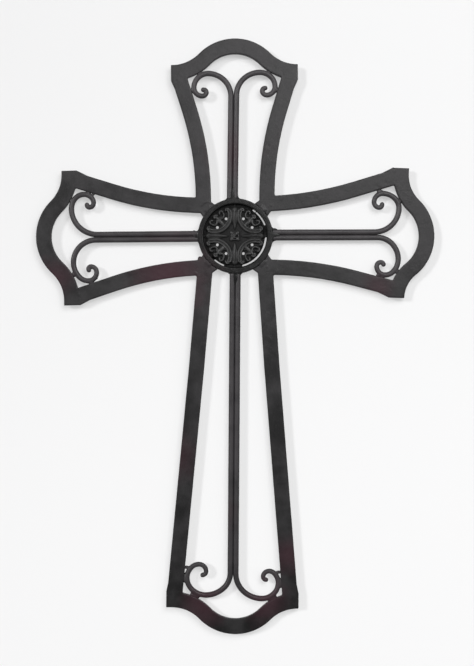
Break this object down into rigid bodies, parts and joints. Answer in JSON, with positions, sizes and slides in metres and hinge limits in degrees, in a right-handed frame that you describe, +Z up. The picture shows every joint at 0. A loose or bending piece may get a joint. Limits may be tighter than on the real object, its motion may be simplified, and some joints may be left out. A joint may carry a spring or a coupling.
{
  "type": "wall cross",
  "caption": "Flat wrought iron cross with flared arms, ogee end caps and paired scroll rods round a ring with a pierced medallion; hangs by an eye on its back",
  "frame": {"origin": "mouth of the hanging eye's bore, in the plane of the wall", "axes": "+Z up, along the cross's height; the front faces -Y; +X is to the right as seen from the front"},
  "size_m": [0.4075, 0.0098, 0.6091],
  "materials": {
    "flat_bar": "satin black-brown paint over hammered bar",
    "round_rod": "satin black-brown paint",
    "ring_iron": "satin black paint",
    "casting": "satin black paint over a cast surface",
    "back_iron": "satin black paint"
  },
  "bodies": {
    "root": {"cap_top": "flat_bar", "cap_left": "flat_bar", "cap_right": "flat_bar", "cap_foot": "flat_bar", "bar_top_left": "flat_bar", "bar_top_right": "flat_bar", "bar_left_upper": "flat_bar", "bar_left_lower": "flat_bar", "bar_right_upper": "flat_bar", "bar_right_lower": "flat_bar", "bar_foot_left": "flat_bar", "bar_foot_right": "flat_bar", "rod_top_left": "round_rod", "rod_top_right": "round_rod", "rod_left_upper": "round_rod", "rod_left_lower": "round_rod", "rod_right_upper": "round_rod", "rod_right_lower": "round_rod", "rod_foot_left": "round_rod", "rod_foot_right": "round_rod", "ring": "ring_iron", "medallion": "casting", "hanging_eye": "back_iron"}
  },
  "joints": []
}
